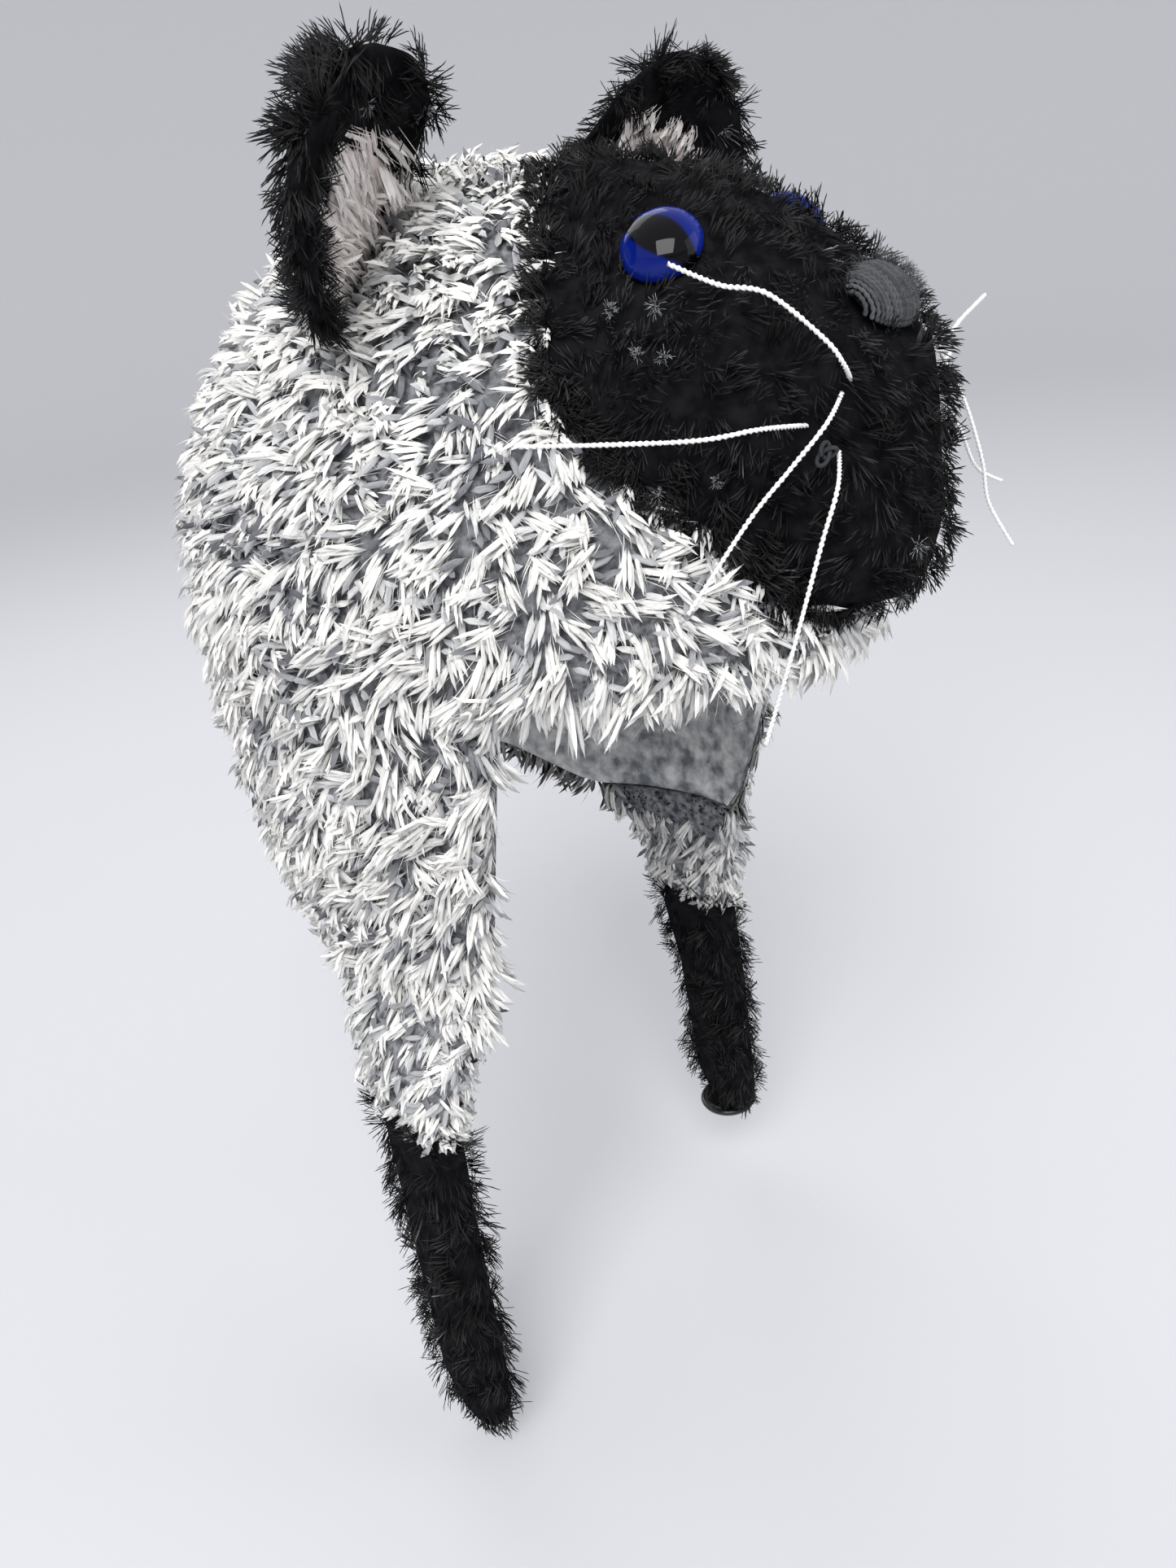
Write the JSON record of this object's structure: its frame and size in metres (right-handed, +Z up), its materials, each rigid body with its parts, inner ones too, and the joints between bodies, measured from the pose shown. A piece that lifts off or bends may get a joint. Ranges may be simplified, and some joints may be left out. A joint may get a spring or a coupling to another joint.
{
  "type": "animal hat",
  "caption": "Crocheted fur hat with cupped ears, a padded muzzle with eyes, nose and whiskers, and two ear flaps that end in straps, one with a button.",
  "frame": {"origin": "the inner top of the crown, where the hat sits on the head", "axes": "+Z up, -Y the way the muzzle and the wearer face, -X the wearer's right side; metres"},
  "size_m": [0.1859, 0.2352, 0.3886],
  "materials": {
    "frosted_fur": "long frosted fur yarn, white tips over slate-grey roots",
    "dark_plush": "short black plush fur yarn",
    "pale_lining": "short pale pink-white fur yarn",
    "waxed_thread": "twisted white waxed thread",
    "grey_yarn": "grey yarn in satin stitch",
    "blue_eye": "glossy dome, royal blue round a dark slit",
    "dark_plastic": "polished black"
  },
  "bodies": {
    "root": {"crown": "frosted_fur", "strap_right": "frosted_fur", "strap_left": "frosted_fur", "strap_end_right": "dark_plush", "strap_end_left": "dark_plush", "face": "dark_plush", "ear_right": "dark_plush", "ear_left": "dark_plush", "ear_lining_right": "pale_lining", "ear_lining_left": "pale_lining", "eye_right": "blue_eye", "eye_left": "blue_eye", "nose": "grey_yarn", "button": "dark_plastic", "whisker_upper_right": "waxed_thread", "whisker_middle_right": "waxed_thread", "whisker_lower_right": "waxed_thread", "whisker_hanging_right": "waxed_thread", "whisker_upper_left": "waxed_thread", "whisker_middle_left": "waxed_thread", "whisker_lower_left": "waxed_thread", "whisker_hanging_left": "waxed_thread"}
  },
  "joints": []
}
